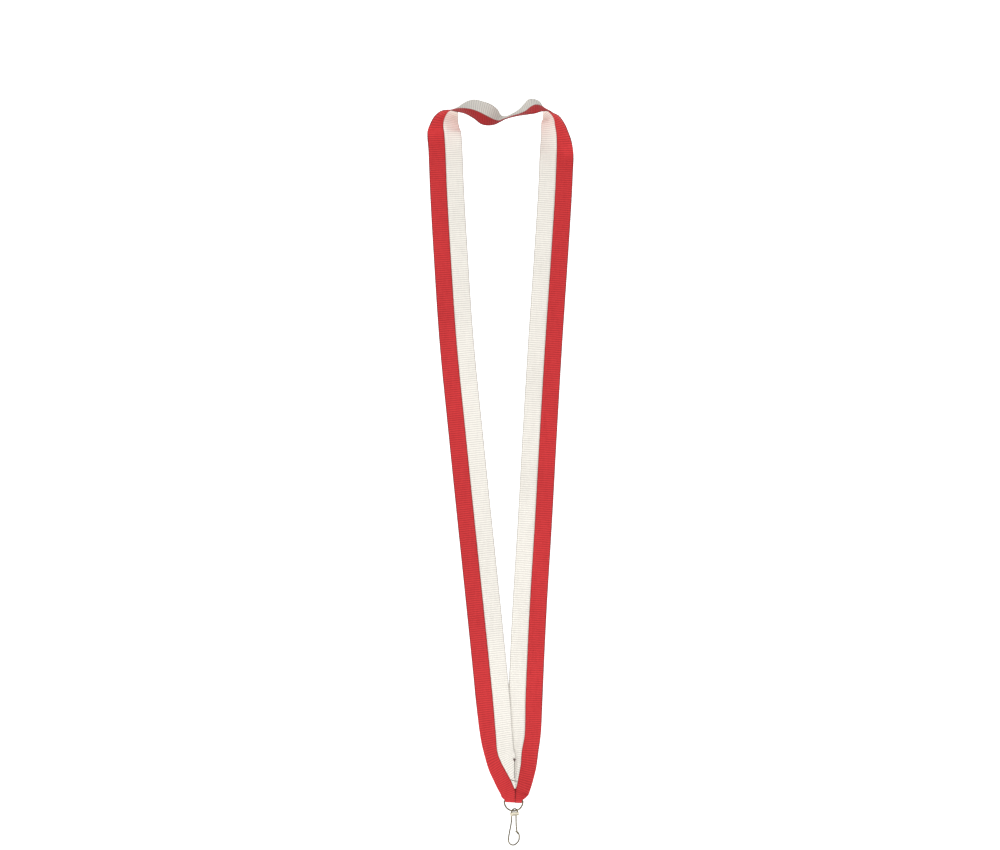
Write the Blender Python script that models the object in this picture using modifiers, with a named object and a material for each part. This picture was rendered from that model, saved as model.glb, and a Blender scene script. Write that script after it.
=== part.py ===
"""Neck ribbon for a medal: a two-colour woven ribbon loop with a mitred point, a D ring held
in the folded point and a formed-wire snap clip hanging on the ring.

Metres, +Z up, the wearer's front faces -Y. The origin is where the back of the neck carries
the ribbon. Sizes below are in millimetres and are turned into metres by MM.
"""

import math

import bpy
import numpy as np
from mathutils import Vector

MM = 0.001

# Ribbon
RIBBON_WIDTH = 22.0
RIBBON_THICKNESS = 0.6
HALF = RIBBON_WIDTH / 2
GAP = 0.3
STRAP_Y = -30.0
LAP_SHIFT = 0.45
LAP_START_Z = -330.0
LAP_FULL_Z = -380.0
LEAN = 20.0
LEAN_START_Z = -240.0
LEAN_FULL_Z = -8.0
ROW_STEP = 7.0
STRAP_ROW_STEP = 24.0

# Mitred point and the fold that holds the ring
SEAM_X = 9.5
FOLD_HALF_WIDTH = 5.15
FOLD_LIP = 0.7
FLAP_HEIGHT = 12.5
FLAP_TOP_HALF_WIDTH = 1.6
FLAP_STRAIGHT_TOP = 1.0

# D ring
RING_WIRE = 0.9
RING_X = 8.4
RING_Y = -28.95
BAR_Z = -435.6
BAR_HALF_STRAIGHT = 4.6
BOW_RADIUS = 5.95
BOW_DROP = 0.8
CORNER_RADIUS = 0.9

# Snap clip: its flat pattern is drawn in its own plane, which is turned on the ring by CLIP_YAW
CLIP_WIRE = 0.8
CLIP_X = 9.0
CLIP_YAW = math.radians(36)
EYE_BELOW_BOW = 0.8
EYE_HALF_WIDTH = 2.35
EYE_HALF_HEIGHT = 2.15
COLLAR_TOP = -0.1
COLLAR_HEIGHT = 2.1
COLLAR_HALF_WIDTH = 3.35
COLLAR_HALF_DEPTH = 1.05
COLLAR_WALL = 0.35

# Stitching
THREAD = 0.35
STITCH_LIFT = 0.5
SEAM_TOP_Z = -410.2
SEAM_STITCH = 0.5
SEAM_STITCHES = 22
SEAM_ZIGZAG = 0.12
SEAM_THREAD_X = SEAM_X - 0.45
FRONT_TACK = [(6.9, -422.35), (8.85, -422.875), (10.8, -423.65)]
FLAP_TACK_HALF_WIDTH = 2.1
FLAP_TACK_RISE = 6.2
FLAP_TACK_PITCH = 0.55
FLAP_TACK_ROWS = 6
KNOT_RADIUS = 0.75
KNOT_SCALE = (1.0, 0.7, 1.15)
KNOT_X = SEAM_X - 0.6
KNOT_Z = -408.8
KNOT_LIFT = 0.25

UP = np.array([0.0, 0.0, 1.0])
EYE_Z = BAR_Z - BOW_DROP - BOW_RADIUS - EYE_BELOW_BOW

# Line between the two colours on each strap, from the mitre up to the shoulder: (x, z)
LEFT_LINE = [(-2.9, -393.6), (-4.8, -371.2), (-10.6, -313.6), (-16.6, -256.0), (-22.5, -198.4),
             (-28.2, -140.8), (-32.2, -82.6), (-34.5, -43.6), (-35.6, -18.0)]
RIGHT_LINE = [(15.5, -393.6), (16.0, -371.2), (18.6, -313.6), (22.1, -256.0), (25.3, -198.4),
              (28.8, -140.8), (32.8, -82.6), (35.3, -43.6)]

# The ribbon over the shoulders and behind the neck: a point on the colour line, then the ways
# towards the white edge and towards the red edge. SQUARENESS is how far those ways are turned to
# stand square to the colour line, from 0 to 1.
SQUARENESS = 0.3
NECK_LINE = [
    ((-36.4, -10.0, -6.0), (1.0, 0.0, 0.0), (-1.0, 0.0, 0.0)),
    ((-37.1, -10.3, -1.7), (0.94, 0.3, -0.1), (-0.78, -0.62, 0.0)),
    ((-36.6, -10.3, 2.5), (0.84, 0.52, -0.1), (-0.56, -0.83, 0.05)),
    ((-35.4, -10.1, 5.6), (0.74, 0.66, -0.1), (-0.3, -0.95, 0.06)),
    ((-33.5, -9.8, 7.9), (0.62, 0.77, -0.02), (-0.02, -1.0, -0.06)),
    ((-29.8, -9.4, 9.4), (0.38, 0.9, 0.2), (0.1, -0.96, -0.26)),
    ((-24.3, -8.8, 9.9), (0.15, 0.86, 0.42), (0.14, -0.9, -0.42)),
    ((-18.5, -7.6, 9.3), (0.09, 0.7, 0.62), (0.15, -0.77, -0.63)),
    ((-13.3, -6.2, 7.5), (0.13, 0.62, 0.7), (0.1, -0.65, -0.76)),
    ((-8.1, -4.4, 5.0), (0.18, 0.55, 0.75), (-0.02, -0.8, -0.6)),
    ((-3.9, -2.8, 3.1), (0.25, 0.68, 0.62), (-0.08, -0.94, -0.34)),
    ((-1.0, -1.4, 2.7), (0.3, 0.86, 0.4), (-0.04, -0.98, -0.18)),
    ((2.9, -0.4, 4.2), (0.22, 0.93, 0.3), (-0.02, -0.99, -0.15)),
    ((7.5, -0.2, 5.9), (0.08, 0.95, 0.28), (0.0, -0.98, -0.17)),
    ((12.0, -0.8, 7.1), (-0.05, 0.93, 0.36), (0.0, -0.98, -0.19)),
    ((16.6, -2.2, 9.0), (-0.15, 0.86, 0.48), (0.04, -0.95, -0.3)),
    ((19.8, -3.6, 11.5), (-0.16, 0.83, 0.5), (0.06, -0.86, -0.5)),
    ((23.0, -5.2, 12.6), (0.0, 0.9, 0.36), (0.1, -0.82, -0.56)),
    ((26.9, -7.0, 11.5), (-0.08, 0.97, 0.16), (0.12, -0.88, -0.45)),
    ((30.4, -8.4, 8.7), (-0.34, 0.93, -0.14), (0.1, -0.96, -0.24)),
    ((33.3, -9.4, 5.7), (-0.58, 0.8, -0.08), (0.04, -1.0, -0.05)),
    ((34.8, -10.0, 2.8), (-0.74, 0.66, 0.0), (0.26, -0.96, 0.03)),
    ((35.5, -10.8, -1.8), (-0.82, 0.56, 0.0), (0.52, -0.85, 0.03)),
    ((36.3, -11.4, -7.0), (-0.9, 0.42, 0.0), (0.68, -0.73, 0.0)),
    ((36.5, -11.6, -12.9), (-0.96, 0.25, 0.0), (0.85, -0.5, 0.0)),
    ((36.3, -12.1, -20.7), (-1.0, 0.0, 0.0), (1.0, 0.0, 0.0)),
]

# Straps at the mitre, top to bottom: white edge, colour line and red edge as (x, z)
LEFT_MITRE = [
    ((8.1, -391.7), (-2.9, -393.6), (-13.6, -395.5)),
    ((8.8, -402.0), (-1.9, -404.5), (-11.5, -407.4)),
    ((9.5, -405.0), (0.0, -410.9), (-9.1, -416.0)),
    ((9.5, -413.0), (3.8, -417.3), (-5.9, -422.4)),
    ((9.5, -421.5), (6.9, -423.0), (-3.1, -427.8)),
    ((9.5, -427.6), (8.9, -427.9), (-0.8, -431.7)),
]
RIGHT_MITRE = [
    ((4.8, -394.2), (15.5, -393.6), (26.0, -393.0)),
    ((5.8, -403.2), (13.6, -404.5), (24.4, -405.2)),
    ((7.5, -409.6), (13.0, -412.2), (23.1, -414.7)),
    ((7.5, -417.3), (11.8, -419.2), (21.4, -421.8)),
    ((7.5, -422.8), (10.8, -424.4), (19.6, -427.9)),
    ((7.5, -427.0), (9.9, -428.0), (18.1, -432.0)),
]
LEFT_TIP = [((9.5, -431.5), (1.4, -433.4)), ((9.5, -434.6), (2.6, -434.6))]
RIGHT_TIP = [((7.5, -431.5), (16.0, -433.4)), ((7.5, -434.6), (14.2, -434.6))]

# Clip wires in the clip's own plane: (along, out of plane, height over the eye's middle)
HOOK_SHAPE = [
    (-EYE_HALF_WIDTH, 0, -2.4), (-2.4, 0, -4.9), (-2.9, 0, -8.1), (-3.85, 0, -11.9),
    (-4.65, 0, -15.8), (-4.7, 0, -18.0), (-3.7, 0, -19.9), (-1.2, 0, -20.95),
    (1.3, 0, -20.3), (3.3, 0, -18.5), (3.75, 0, -16.4), (3.5, 0, -14.5),
    (3.0, 0.55, -13.3), (2.3, 1.15, -12.8), (1.5, 1.3, -12.75),
]
GATE_SHAPE = [(1.25, 0, -1.8), (1.2, 0, -4.9), (1.35, 0, -8.8), (1.75, 0, -11.6), (2.2, 0, -14.1)]

COLOURS = {
    "ribbon_red": ((0.62, 0.012, 0.022), 0.7, 0.0),
    "ribbon_white": ((0.86, 0.83, 0.78), 0.75, 0.0),
    "thread": ((0.75, 0.71, 0.66), 0.7, 0.0),
    "brass_wire": ((0.78, 0.6, 0.28), 0.25, 1.0),
}


def clear_scene():
    """Removes whatever the file held before."""
    for obj in list(bpy.data.objects):
        bpy.data.objects.remove(obj, do_unlink=True)


def material(name):
    """The Principled material of this name, made once."""
    found = bpy.data.materials.get(name)
    if found:
        return found
    colour, roughness, metallic = COLOURS[name]
    made = bpy.data.materials.new(name)
    made.use_nodes = True
    shader = made.node_tree.nodes["Principled BSDF"]
    shader.inputs["Base Color"].default_value = (*colour, 1.0)
    shader.inputs["Roughness"].default_value = roughness
    shader.inputs["Metallic"].default_value = metallic
    return made


def add_object(name, data, material_name, collection):
    """Links a mesh or curve as a named object with its own material."""
    obj = bpy.data.objects.new(name, data)
    own = material(material_name).copy()
    own.name = name
    data.materials.append(own)
    collection.objects.link(obj)
    return obj


def unit(vector):
    """The vector at length one."""
    return vector / np.linalg.norm(vector)


def smooth_path(points, step):
    """Points about one step apart along a curve through all the given points."""
    points = np.array(points, float)
    span = np.linalg.norm(np.diff(points, axis=0), axis=1)
    slope = np.empty_like(points)
    for k in range(len(points)):
        before, after = max(k - 1, 0), min(k + 1, len(points) - 1)
        slope[k] = (points[after] - points[before]) / span[before:after].sum()
    path = []
    for k, length in enumerate(span):
        count = max(1, round(length / step))
        for t in np.arange(count) / count:
            path.append((2 * t**3 - 3 * t**2 + 1) * points[k] + (3 * t**2 - 2 * t**3) * points[k + 1]
                        + length * ((t**3 - 2 * t**2 + t) * slope[k] + (t**3 - t**2) * slope[k + 1]))
    path.append(points[-1])
    return np.array(path)


def half_profile(centre, towards, away, first, last):
    """One colour's half of a cross-section, curving from the colour line out to its edge."""
    across = unit(towards - away)
    points = []
    for u in np.linspace(first, last, 4):
        points.append(centre + HALF * (across * (u - u * u) + towards * u * u))
    return points


def strip(name, rows, material_name, collection):
    """A closed strip of ribbon through rows of points, as a sheet thickened by Solidify."""
    across = len(rows[0])
    vertices = [Vector(point) * MM for row in rows for point in row]
    faces = []
    for r in range(len(rows) - 1):
        for c in range(across - 1):
            corner = r * across + c
            faces.append((corner, corner + 1, corner + across + 1, corner + across))
    mesh = bpy.data.meshes.new(name)
    mesh.from_pydata(vertices, [], faces)
    mesh.shade_smooth()
    obj = add_object(name, mesh, material_name, collection)
    thick = obj.modifiers.new("thickness", "SOLIDIFY")
    thick.thickness = RIBBON_THICKNESS * MM
    thick.offset = 0.0
    return obj


def wire(name, points, diameter, collection, material_name="brass_wire", closed=False):
    """A round wire along points that lie close together."""
    curve = bpy.data.curves.new(name, "CURVE")
    curve.dimensions = "3D"
    curve.bevel_depth = diameter / 2 * MM
    curve.bevel_resolution = 2
    curve.use_fill_caps = not closed
    spline = curve.splines.new("POLY")
    spline.points.add(len(points) - 1)
    for point, place in zip(spline.points, points):
        point.co = (*(Vector(place) * MM), 1.0)
    spline.use_cyclic_u = closed
    spline.use_smooth = True
    return add_object(name, curve, material_name, collection)


def neck_rows():
    """The stations behind the neck, filled in smoothly, as (centre, white way, red way)."""
    centres = smooth_path([station[0] for station in NECK_LINE], ROW_STEP)
    counts = [max(1, round(math.dist(a[0], b[0]) / ROW_STEP)) for a, b in zip(NECK_LINE, NECK_LINE[1:])]
    places = [k + t / count for k, count in enumerate(counts) for t in range(count)]
    places.append(len(NECK_LINE) - 1)
    white_ways = np.array([station[1] for station in NECK_LINE])
    red_ways = np.array([station[2] for station in NECK_LINE])
    stations = np.arange(len(NECK_LINE))
    rows = []
    for k, place in enumerate(places):
        at_end = k in (0, len(places) - 1)
        along = UP if at_end else unit(centres[k + 1] - centres[k - 1])
        ways = []
        for table in (white_ways, red_ways):
            way = np.array([np.interp(place, stations, table[:, axis]) for axis in range(3)])
            ways.append(unit(way - along * way.dot(along) * SQUARENESS))
        rows.append((centres[k], ways[0], ways[1]))
    return rows


def build_neck_band(collection):
    """Both colours of the ribbon from shoulder to shoulder."""
    inner = GAP / 2 / HALF
    rows = neck_rows()
    white = [half_profile(centre, to_white, to_red, inner, 1) for centre, to_white, to_red in rows]
    red = [half_profile(centre, to_red, to_white, inner, 1) for centre, to_white, to_red in rows]
    strip("neck_band_white", white, "ribbon_white", collection)
    strip("neck_band_red", [row[::-1] for row in red], "ribbon_red", collection)


def strap_y(height, side):
    """How far forward a strap lies: it leans back towards the shoulder, and laps at the mitre."""
    lap = np.clip((LAP_START_Z - height) / (LAP_START_Z - LAP_FULL_Z), 0.0, 1.0)
    lean = np.clip((height - LEAN_START_Z) / (LEAN_FULL_Z - LEAN_START_Z), 0.0, 1.0)
    return STRAP_Y + side * LAP_SHIFT * lap + LEAN * lean**2


def build_strap(side, line, mitre, tip, collection):
    """One hanging strap in both colours, from below the shoulder down to the fold.

    side is -1 for the left strap, which laps over the right one, and 1 for the right strap.
    """
    name = "left_strap" if side < 0 else "right_strap"
    end_gap = np.array([0.0, GAP])
    band_end = NECK_LINE[0 if side < 0 else -1][0]
    points = line + [(band_end[0], band_end[2])]
    path = smooth_path(points, STRAP_ROW_STEP)
    path[-1] -= end_gap
    last = len(path) - 1
    white, red = [], []
    to_white = -side
    for k, centre in enumerate(path[1:], 1):
        along = UP[1:] if k == last else unit(path[k + 1] - path[k - 1])
        out = np.array([along[1], -along[0]]) * to_white
        white.append((centre + out * GAP / 2, centre + out * HALF))
        red.append((centre - out * HALF, centre - out * GAP / 2))
    white.reverse()
    red.reverse()
    for edge_white, boundary, edge_red in mitre:
        boundary = np.array(boundary)
        edge_white, edge_red = np.array(edge_white), np.array(edge_red)
        white.append((boundary + unit(edge_white - boundary) * GAP / 2, edge_white))
        red.append((edge_red, boundary + unit(edge_red - boundary) * GAP / 2))
    for inner, outer in tip:
        red.append((np.array(outer), np.array(inner)))

    def placed(rows):
        return [[(x, strap_y(z, side), z) for x, z in (a, (a + b) / 2, b)] for a, b in rows]

    strip(name + "_white", placed(white), "ribbon_white", collection)
    strip(name + "_red", placed(red), "ribbon_red", collection)


def build_ring_fold(collection):
    """The mitred point passed round the ring's bar and turned up behind, as a U and a flap."""
    turn = RING_WIRE / 2 + GAP + RIBBON_THICKNESS / 2
    section = [(-turn, FOLD_LIP), (-turn, 0.0)]
    for angle in np.radians(np.arange(210, 360, 30)):
        section.append((math.cos(angle) * turn, math.sin(angle) * turn))
    section += [(turn, 0.0), (turn, 2.0), (turn, 7.0), (turn, FLAP_HEIGHT)]
    rows = []
    for depth, height in section:
        narrowing = np.clip((height - FLAP_STRAIGHT_TOP) / (FLAP_HEIGHT - FLAP_STRAIGHT_TOP), 0.0, 1.0)
        half = FOLD_HALF_WIDTH + (FLAP_TOP_HALF_WIDTH - FOLD_HALF_WIDTH) * narrowing
        rows.append([(RING_X + share * half, RING_Y + depth, BAR_Z + height) for share in (-1, 0, 1)])
    strip("ring_fold", rows, "ribbon_red", collection)


def build_stitching(collection):
    """The seam down the mitre with its knot, and the tacks that close the fold."""
    front = STRAP_Y - LAP_SHIFT - RIBBON_THICKNESS / 2 - STITCH_LIFT
    seam = []
    for k in range(SEAM_STITCHES + 1):
        seam.append((SEAM_THREAD_X + SEAM_ZIGZAG * (-1) ** k, front, SEAM_TOP_Z - k * SEAM_STITCH))
    wire("seam_thread", seam, THREAD, collection, "thread")
    tack = [(x, front, z) for x, z in FRONT_TACK]
    wire("front_tack", smooth_path(tack, SEAM_STITCH), THREAD, collection, "thread")
    behind = RING_Y + RING_WIRE / 2 + GAP + RIBBON_THICKNESS + STITCH_LIFT
    rungs = [(RING_X + FLAP_TACK_HALF_WIDTH * (-1) ** k, behind, BAR_Z + FLAP_TACK_RISE + FLAP_TACK_PITCH * k)
             for k in range(FLAP_TACK_ROWS)]
    wire("flap_tack", smooth_path(rungs, 1.0), THREAD, collection, "thread")
    bpy.ops.mesh.primitive_uv_sphere_add(segments=12, ring_count=8, radius=KNOT_RADIUS * MM)
    knot = bpy.context.object
    knot.name = knot.data.name = "seam_knot"
    knot.scale = KNOT_SCALE
    knot.location = Vector((KNOT_X, front - KNOT_LIFT, KNOT_Z)) * MM
    knot.data.shade_smooth()
    own = material("thread").copy()
    own.name = "seam_knot"
    knot.data.materials.append(own)
    for held in list(knot.users_collection):
        held.objects.unlink(knot)
    collection.objects.link(knot)


def build_d_ring(collection):
    """A D of round wire: a straight bar inside the fold and a half-round bow below it."""
    bow_z = BAR_Z - BOW_DROP
    bar = [(x, 0.0) for x in np.linspace(-BAR_HALF_STRAIGHT, BAR_HALF_STRAIGHT, 8)]
    corner = []
    for angle in np.radians(np.arange(67.5, 0, -22.5)):
        corner.append((BOW_RADIUS - CORNER_RADIUS * (1 - math.cos(angle)),
                       -CORNER_RADIUS * (1 - math.sin(angle))))
    bow = [(BOW_RADIUS * math.cos(angle), bow_z - BAR_Z + BOW_RADIUS * math.sin(angle))
           for angle in np.radians(np.arange(-5, -180, -5))]
    path = bar + corner + bow + [(-x, z) for x, z in corner[::-1]]
    wire("d_ring", [(RING_X + x, RING_Y, BAR_Z + z) for x, z in path], RING_WIRE, collection, closed=True)


def clip_point(along, out, height):
    """A place in the clip's own plane, turned on the ring into the object's frame."""
    x = CLIP_X + along * math.cos(CLIP_YAW) - out * math.sin(CLIP_YAW)
    y = RING_Y + along * math.sin(CLIP_YAW) + out * math.cos(CLIP_YAW)
    return (x, y, EYE_Z + height)


def build_clip(collection):
    """The hook wire with its eye, the gate wire and the collar crimped round their necks."""
    eye = [(EYE_HALF_WIDTH, 0, -1.8)]
    for angle in np.radians(np.arange(0, 181, 15)):
        eye.append((EYE_HALF_WIDTH * math.cos(angle), 0, EYE_HALF_HEIGHT * math.sin(angle)))
    hook = np.vstack([eye, smooth_path(HOOK_SHAPE, 0.8)])
    wire("hook_wire", [clip_point(*point) for point in hook], CLIP_WIRE, collection)
    gate = smooth_path(GATE_SHAPE, 1.0)
    wire("spring_gate", [clip_point(*point) for point in gate], CLIP_WIRE, collection)

    outline = bpy.data.curves.new("crimp_collar", "CURVE")
    outline.dimensions = "2D"
    outline.fill_mode = "BOTH"
    outline.extrude = COLLAR_HEIGHT / 2 * MM
    for inset in (0.0, COLLAR_WALL):
        radius = COLLAR_HALF_DEPTH - inset
        straight = COLLAR_HALF_WIDTH - COLLAR_HALF_DEPTH
        spline = outline.splines.new("POLY")
        angles = np.radians(np.arange(-90, 91, 22.5))
        places = [(straight + radius * math.cos(a), radius * math.sin(a)) for a in angles]
        places += [(-x, -y) for x, y in places]
        spline.points.add(len(places) - 1)
        for point, (x, y) in zip(spline.points, places):
            point.co = (x * MM, y * MM, 0.0, 1.0)
        spline.use_cyclic_u = True
    collar = add_object("crimp_collar", outline, "brass_wire", collection)
    collar.location = Vector(clip_point(0.0, 0.0, COLLAR_TOP - COLLAR_HEIGHT / 2)) * MM
    collar.rotation_euler = (0.0, 0.0, CLIP_YAW)


def main():
    """Builds the whole neck ribbon."""
    clear_scene()
    collection = bpy.data.collections.new("medal_neck_ribbon")
    bpy.context.scene.collection.children.link(collection)
    build_neck_band(collection)
    build_strap(-1, LEFT_LINE, LEFT_MITRE, LEFT_TIP, collection)
    build_strap(1, RIGHT_LINE, RIGHT_MITRE, RIGHT_TIP, collection)
    build_ring_fold(collection)
    build_stitching(collection)
    build_d_ring(collection)
    build_clip(collection)


main()
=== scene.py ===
"""Neck ribbon for a medal: a two-colour ribbed ribbon loop, its D ring and its snap clip.

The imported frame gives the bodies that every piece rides. This script weaves the ribbon, sews the
mitred point, draws the wires and crimps the collar where that frame has them, then lights the
whole for a straight front view. Lengths are in millimetres until mesh_piece makes them metres.
"""

import logging
import math
from dataclasses import dataclass, field
from enum import Enum
from typing import Any, Sequence, Union

import bpy
import numpy as np
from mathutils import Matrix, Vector


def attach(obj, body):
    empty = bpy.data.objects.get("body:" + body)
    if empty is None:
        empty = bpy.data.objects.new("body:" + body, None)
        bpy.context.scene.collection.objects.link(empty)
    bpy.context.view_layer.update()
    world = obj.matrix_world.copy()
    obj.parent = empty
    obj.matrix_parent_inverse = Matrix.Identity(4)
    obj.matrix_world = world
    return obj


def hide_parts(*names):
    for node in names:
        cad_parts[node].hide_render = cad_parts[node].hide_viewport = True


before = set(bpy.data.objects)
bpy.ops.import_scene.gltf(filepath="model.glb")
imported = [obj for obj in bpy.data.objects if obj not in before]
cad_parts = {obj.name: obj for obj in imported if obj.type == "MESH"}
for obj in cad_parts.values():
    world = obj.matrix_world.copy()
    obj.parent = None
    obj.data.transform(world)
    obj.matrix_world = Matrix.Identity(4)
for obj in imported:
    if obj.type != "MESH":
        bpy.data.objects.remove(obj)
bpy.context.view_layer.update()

MM = 0.001
LOG = logging.getLogger("neck_ribbon")

Row = Sequence[float]
Number = Union[int, float]
Colour = tuple[float, float, float]

# the middle of the ring's bar, which the ribbon is folded round
RING_BAR = (8.4, -28.95, -435.6)


# ---------------------------------------------------------------- shader maths


class Signal:
    """A shader socket that takes part in ordinary arithmetic."""

    def __init__(self, tree: bpy.types.NodeTree, socket: bpy.types.NodeSocket) -> None:
        """Wraps one output socket of the tree."""
        self.tree = tree
        self.socket = socket

    def math(
        self, operation: str, *others: "Union[Signal, Number]", first: "Union[Signal, Number, None]" = None
    ) -> "Signal":
        """One Math node.

        Args:
            operation: The Math node's operation.
            others: What follows this signal in the node's inputs.
            first: What goes before this signal, for the reflected operators.

        Returns:
            The node's result.
        """
        node = self.tree.nodes.new("ShaderNodeMath")
        node.operation = operation
        values = (self, *others) if first is None else (first, self, *others)
        for slot, value in zip(node.inputs, values):
            if isinstance(value, Signal):
                self.tree.links.new(value.socket, slot)
            else:
                slot.default_value = value
        return Signal(self.tree, node.outputs[0])

    def __add__(self, other: "Union[Signal, Number]") -> "Signal":
        """Sum."""
        return self.math("ADD", other)

    __radd__ = __add__

    def __sub__(self, other: "Union[Signal, Number]") -> "Signal":
        """Difference."""
        return self.math("SUBTRACT", other)

    def __rsub__(self, other: Number) -> "Signal":
        """Difference from a plain number."""
        return self.math("SUBTRACT", first=other)

    def __mul__(self, other: "Union[Signal, Number]") -> "Signal":
        """Product."""
        return self.math("MULTIPLY", other)

    __rmul__ = __mul__

    def __truediv__(self, other: "Union[Signal, Number]") -> "Signal":
        """Quotient."""
        return self.math("DIVIDE", other)

    def __pow__(self, other: Number) -> "Signal":
        """Power."""
        return self.math("POWER", other)

    def cosine(self) -> "Signal":
        """Cosine of the signal in radians."""
        return self.math("COSINE")

    def size(self) -> "Signal":
        """Absolute value."""
        return self.math("ABSOLUTE")

    def held(self, low: Number = 0.0, high: Number = 1.0) -> "Signal":
        """The signal kept between two numbers."""
        return self.math("MAXIMUM", low).math("MINIMUM", high)

    def ramp(self, low: Number, high: Number) -> "Signal":
        """0 below low and 1 above high, straight between them."""
        return ((self - low) / (high - low)).held()


class Shade:
    """The node tree of one finish, with its Principled shader."""

    def __init__(self, name: str) -> None:
        """Starts an empty finish of this name."""
        self.material = bpy.data.materials.new(name)
        self.material.use_nodes = True
        self.tree = self.material.node_tree
        self.shader = self.tree.nodes["Principled BSDF"]

    def node(self, kind: str, settings: dict[str, Any] | None = None, **sockets: Any) -> bpy.types.Node:
        """Any node but a Math node.

        Args:
            kind: The node's type.
            settings: Its own settings, set before its sockets.
            sockets: A value, Signal or socket for each input, by its name with _ for a blank.

        Returns:
            The new node.
        """
        made = self.tree.nodes.new(kind)
        for name, value in (settings or {}).items():
            setattr(made, name, value)
        for name, value in sockets.items():
            self.feed(made.inputs[name.replace("_", " ")], value)
        return made

    def feed(self, slot: bpy.types.NodeSocket, value: Any) -> None:
        """Links or sets one input."""
        if isinstance(value, Signal):
            value = value.socket
        if isinstance(value, bpy.types.NodeSocket):
            self.tree.links.new(value, slot)
        elif isinstance(value, tuple) and len(value) == 3 and slot.type == "RGBA":
            slot.default_value = (*value, 1.0)
        else:
            slot.default_value = value

    def signal(self, socket: bpy.types.NodeSocket) -> Signal:
        """The socket as a Signal."""
        return Signal(self.tree, socket)

    def blend(self, share: Signal, low: Any, high: Any) -> bpy.types.NodeSocket:
        """A colour between low and high by the share."""
        made = self.tree.nodes.new("ShaderNodeMix")
        made.data_type = "RGBA"
        self.feed(made.inputs[0], share)
        self.feed(made.inputs[6], low)
        self.feed(made.inputs[7], high)
        return made.outputs[2]

    def place(self) -> bpy.types.NodeSocket:
        """The point on the piece at rest, in metres."""
        return self.node("ShaderNodeTexCoord").outputs["Object"]

    def stretched(self, scale: tuple[float, float, float]) -> bpy.types.NodeSocket:
        """The point on the piece, stretched along each axis."""
        made = self.node("ShaderNodeVectorMath", {"operation": "MULTIPLY"})
        self.feed(made.inputs[0], self.place())
        self.feed(made.inputs[1], scale)
        return made.outputs[0]

    def noise(self, where: bpy.types.NodeSocket, scale: float, detail: float = 3.0) -> Signal:
        """Soft noise from 0 to 1 over the given vector."""
        made = self.node("ShaderNodeTexNoise", Vector=where, Scale=scale, Detail=detail)
        return self.signal(made.outputs[0])

    def bump(self, height: Signal, distance: float, strength: float = 1.0) -> None:
        """Raises the surface by the height signal, in metres at height 1."""
        made = self.node("ShaderNodeBump", Height=height, Distance=distance, Strength=strength)
        self.feed(self.shader.inputs["Normal"], made.outputs[0])

    def surface(self, **sockets: Any) -> bpy.types.Material:
        """Feeds the shader's own sockets and hands back the finished material."""
        for name, value in sockets.items():
            self.feed(self.shader.inputs[name.replace("_", " ")], value)
        return self.material


# --------------------------------------------------------------------- finishes


class Slot(Enum):
    """The record's material slots."""

    RED = "ribbon_red"
    WHITE = "ribbon_white"
    THREAD = "thread"
    BRASS = "brass_wire"


@dataclass(frozen=True)
class WovenFinish:
    """Ribbed ribbon: fat weft under fine warp yarns, with a firmer selvedge and painted shade in its rib
    valleys.
    """

    name: str
    yarn: Colour
    # valley_shade is painted shade for the rib valleys; edge is a darker colour painted along both edges and
    # the colour line
    valley_shade: Colour
    edge: Colour
    edge_share: float = 0.6
    line_share: float = 0.45
    rib_pitch: float = 1.4
    yarn_pitch: float = 0.24
    half_width: float = 11.0
    roughness: float = 0.72
    sheen: float = 0.12
    sheen_tint: Colour = (1.0, 1.0, 1.0)

    def make(self) -> bpy.types.Material:
        """Builds the finish from the woven coordinates held on the mesh."""
        shade = Shade(self.name)
        weave = shade.node("ShaderNodeAttribute", {"attribute_name": "weave"})
        parts = shade.node("ShaderNodeSeparateXYZ", Vector=weave.outputs["Vector"])
        across = shade.signal(parts.outputs[0])
        along = shade.signal(parts.outputs[1])
        rib = (along * (2 * math.pi / self.rib_pitch)).cosine()
        turn = (along * (math.pi / self.rib_pitch)).cosine() * 0.8
        yarn = (across * (2 * math.pi / self.yarn_pitch) + turn).cosine()
        broad = shade.noise(shade.place(), 26.0)
        slub = shade.noise(shade.stretched((900.0, 900.0, 90.0)), 1.0, 2.0)
        # painted shade: darkest down the middle of each rib valley
        valley_shade = (0.5 - rib * 0.5) ** 3
        # the edges and the colour line are painted darker; on the white half this is partly painted shade for
        # the line where one strap laps the other
        selvedge = across.size().ramp(self.half_width - 0.6, self.half_width - 0.2)
        uneven = (broad - 0.5) * 0.5 + (slub - 0.5) * 0.35
        # painted shade in the rib valleys and between the warp yarns, plus random tone, pulls the yarn colour
        # towards valley_shade
        low = (valley_shade * 0.8 + (0.5 - yarn * 0.5) * 0.12 + uneven).held()
        body = shade.blend(low, self.yarn, self.valley_shade)
        line = 1 - across.size().ramp(0.12, 0.5)
        colour = shade.blend(selvedge * self.edge_share + line * self.line_share, body, self.edge)
        shade.bump(yarn * 0.5 + slub * 0.9 + 0.5, 0.00003, 0.7)
        return shade.surface(
            Base_Color=colour,
            Roughness=(self.roughness + (slub - 0.5) * 0.16 + valley_shade * 0.1).held(),
            Sheen_Weight=self.sheen,
            Sheen_Roughness=0.45,
            Sheen_Tint=self.sheen_tint,
            Specular_IOR_Level=0.3,
        )


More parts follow.
